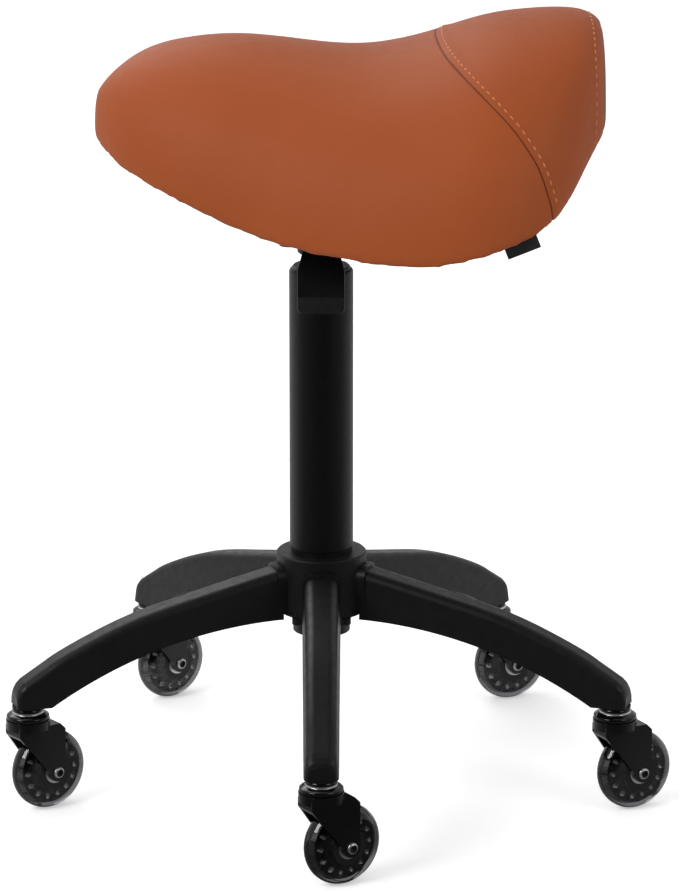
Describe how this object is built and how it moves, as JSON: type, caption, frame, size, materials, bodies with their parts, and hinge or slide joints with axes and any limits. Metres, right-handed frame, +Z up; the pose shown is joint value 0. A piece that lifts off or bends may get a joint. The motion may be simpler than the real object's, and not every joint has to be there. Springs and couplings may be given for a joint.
{
  "type": "saddle stool",
  "caption": "Saddle-seat stool on a gas-lift column: a padded seat turns and rises over an arched star base on swivel casters, released by an under-seat lever.",
  "frame": {"origin": "on the floor, under the column's axis", "axes": "+Z up along the column; the seat's nose points along -X and the lever along -Y"},
  "size_m": [0.5209, 0.4891, 0.6229],
  "materials": {
    "black_base": "satin",
    "black_column": "satin",
    "black_press": "matte",
    "black_caster": "gloss",
    "bright_steel": "polished",
    "black_plastic": "satin",
    "smoke_tyre": "gloss",
    "rubber": "matte",
    "plywood": "matte",
    "black_cloth": "matte",
    "foam": "matte",
    "tan_cover": "satin"
  },
  "bodies": {
    "base": {"base_hub": "black_base", "hub_clamp_ring": "black_base", "hub_bolts": "black_press", "base_arm_1": "black_base", "base_arm_2": "black_base", "base_arm_3": "black_base", "base_arm_4": "black_base", "base_arm_5": "black_base", "caster_stems": "black_caster", "stem_grip_rings": "bright_steel", "column_tube": "black_column", "column_guide_bush": "black_plastic", "bearing_lower_race": "bright_steel", "thrust_ball_cage": "bright_steel", "clip_washer": "bright_steel"},
    "rod": {"piston_rod": "bright_steel", "piston": "bright_steel", "bearing_upper_race": "bright_steel", "bump_stop": "rubber", "retaining_clip": "bright_steel"},
    "seat": {"gas_cylinder": "bright_steel", "cylinder_gland": "black_plastic", "seat_plate": "black_press", "taper_socket": "black_press", "lever_pivot_pin": "bright_steel", "seat_board": "plywood", "under_cover": "black_cloth", "seat_bolts": "black_press", "seat_tee_nuts": "bright_steel", "seat_foam": "foam", "seat_cover": "tan_cover", "side_tab": "black_cloth"},
    "lever": {"height_lever": "black_press", "lever_paddle": "black_plastic"},
    "valve": {"valve_pin": "bright_steel"},
    "fork_1": {"caster_fork_1": "black_caster", "caster_axle_1": "bright_steel"},
    "wheel_1": {"caster_core_1": "black_plastic", "caster_tyre_1": "smoke_tyre", "caster_bearings_1": "bright_steel"},
    "fork_2": {"caster_fork_2": "black_caster", "caster_axle_2": "bright_steel"},
    "wheel_2": {"caster_core_2": "black_plastic", "caster_tyre_2": "smoke_tyre", "caster_bearings_2": "bright_steel"},
    "fork_3": {"caster_fork_3": "black_caster", "caster_axle_3": "bright_steel"},
    "wheel_3": {"caster_core_3": "black_plastic", "caster_tyre_3": "smoke_tyre", "caster_bearings_3": "bright_steel"},
    "fork_4": {"caster_fork_4": "black_caster", "caster_axle_4": "bright_steel"},
    "wheel_4": {"caster_core_4": "black_plastic", "caster_tyre_4": "smoke_tyre", "caster_bearings_4": "bright_steel"},
    "fork_5": {"caster_fork_5": "black_caster", "caster_axle_5": "bright_steel"},
    "wheel_5": {"caster_core_5": "black_plastic", "caster_tyre_5": "smoke_tyre", "caster_bearings_5": "bright_steel"}
  },
  "joints": [
    {"name": "seat_swivel", "type": "hinge", "parent": "base", "child": "rod", "pos_m": [0, 0, 0.1374], "axis": [0, 0, 1], "continuous": true},
    {"name": "seat_height", "type": "slide", "parent": "rod", "child": "seat", "axis": [0, 0, 1], "range_m": [0, 0.2]},
    {"name": "lever_lift", "type": "hinge", "parent": "seat", "child": "lever", "pos_m": [0, -0.028, 0.45979], "axis": [-1, 0, 0], "range_deg": [0, 7], "stiffness_Nm_per_rad": 0.6},
    {"name": "valve_press", "type": "slide", "parent": "seat", "child": "valve", "axis": [0, 0, -1], "range_m": [0, 0.0036]},
    {"name": "caster_swivel_1", "type": "hinge", "parent": "base", "child": "fork_1", "pos_m": [0, -0.241, 0.0765], "axis": [0, 0, 1], "continuous": true},
    {"name": "caster_spin_1", "type": "hinge", "parent": "fork_1", "child": "wheel_1", "pos_m": [0.0151, -0.2312, 0.03175], "axis": [0.5446, -0.8387, 0], "continuous": true},
    {"name": "caster_swivel_2", "type": "hinge", "parent": "base", "child": "fork_2", "pos_m": [0.2292, -0.07447, 0.0765], "axis": [0, 0, 1], "continuous": true},
    {"name": "caster_spin_2", "type": "hinge", "parent": "fork_2", "child": "wheel_2", "pos_m": [0.24495, -0.06575, 0.03175], "axis": [0.4848, -0.8746, 0], "continuous": true},
    {"name": "caster_swivel_3", "type": "hinge", "parent": "base", "child": "fork_3", "pos_m": [0.14166, 0.19497, 0.0765], "axis": [0, 0, 1], "continuous": true},
    {"name": "caster_spin_3", "type": "hinge", "parent": "fork_3", "child": "wheel_3", "pos_m": [0.15797, 0.20258, 0.03175], "axis": [0.4226, -0.9063, 0], "continuous": true},
    {"name": "caster_swivel_4", "type": "hinge", "parent": "base", "child": "fork_4", "pos_m": [-0.14166, 0.19497, 0.0765], "axis": [0, 0, 1], "continuous": true},
    {"name": "caster_spin_4", "type": "hinge", "parent": "fork_4", "child": "wheel_4", "pos_m": [-0.12787, 0.20654, 0.03175], "axis": [0.6428, -0.766, 0], "continuous": true},
    {"name": "caster_swivel_5", "type": "hinge", "parent": "base", "child": "fork_5", "pos_m": [-0.2292, -0.07447, 0.0765], "axis": [0, 0, 1], "continuous": true},
    {"name": "caster_spin_5", "type": "hinge", "parent": "fork_5", "child": "wheel_5", "pos_m": [-0.21502, -0.06339, 0.03175], "axis": [0.6157, -0.788, 0], "continuous": true}
  ],
  "couplings": [
    {"joint": "valve_press", "follows": "lever_lift", "m_per_rad": 0.028}
  ]
}
